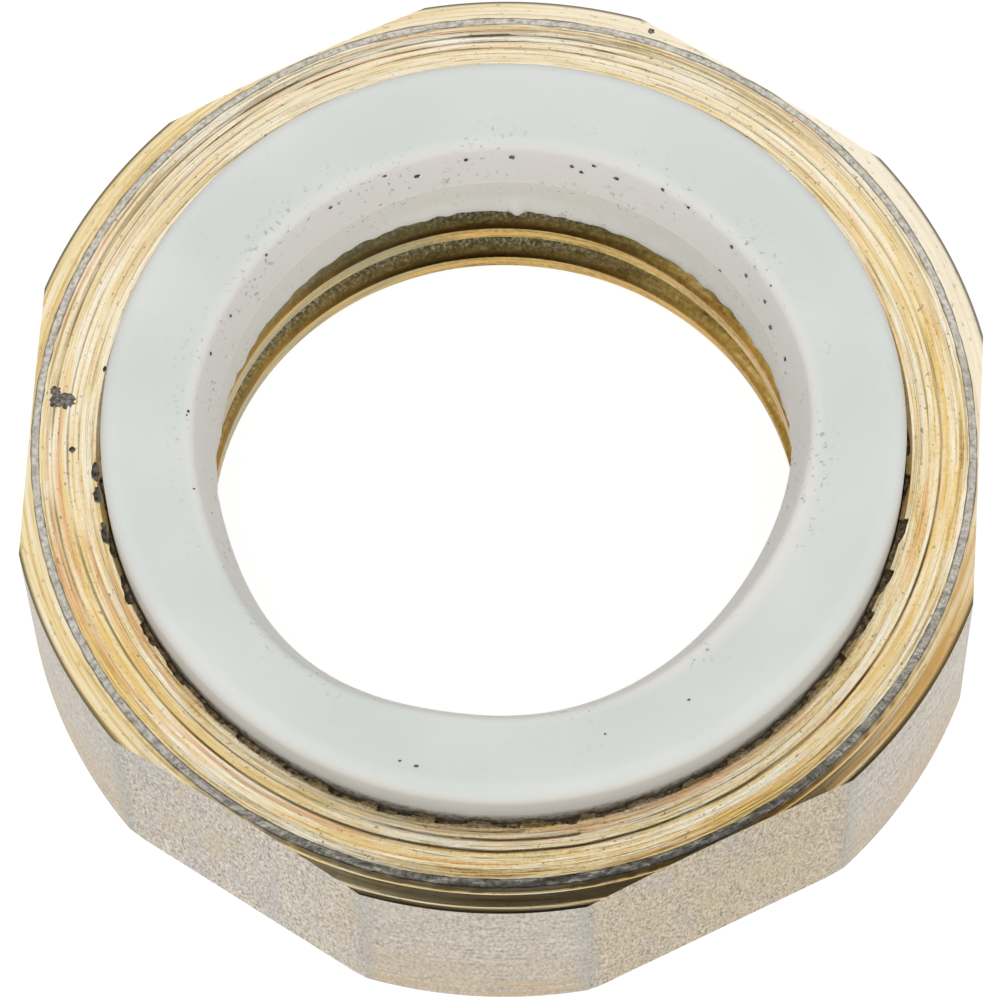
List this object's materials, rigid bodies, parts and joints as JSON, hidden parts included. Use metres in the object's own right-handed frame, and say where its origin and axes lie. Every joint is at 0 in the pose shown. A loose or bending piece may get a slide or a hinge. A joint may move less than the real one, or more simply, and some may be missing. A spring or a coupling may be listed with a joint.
{
  "type": "pipe seal nut",
  "caption": "Hexagon pipe nut of yellow zinc plated steel with a white plastic seal ring held in a serrated recess in its face.",
  "frame": {"origin": "centre of the nut's underside, on the axis of the thread", "axes": "+Z along the thread's axis, from the underside towards the face that carries the seal ring; +X square to one flat of the hexagon"},
  "size_m": [0.019, 0.02, 0.0064],
  "materials": {
    "plated_steel": "yellow zinc plated, turned face and chamfer, drawn flats",
    "seal_plastic": "satin, slightly translucent"
  },
  "bodies": {
    "root": {"nut_body": "plated_steel", "seal_ring": "seal_plastic"}
  },
  "joints": []
}
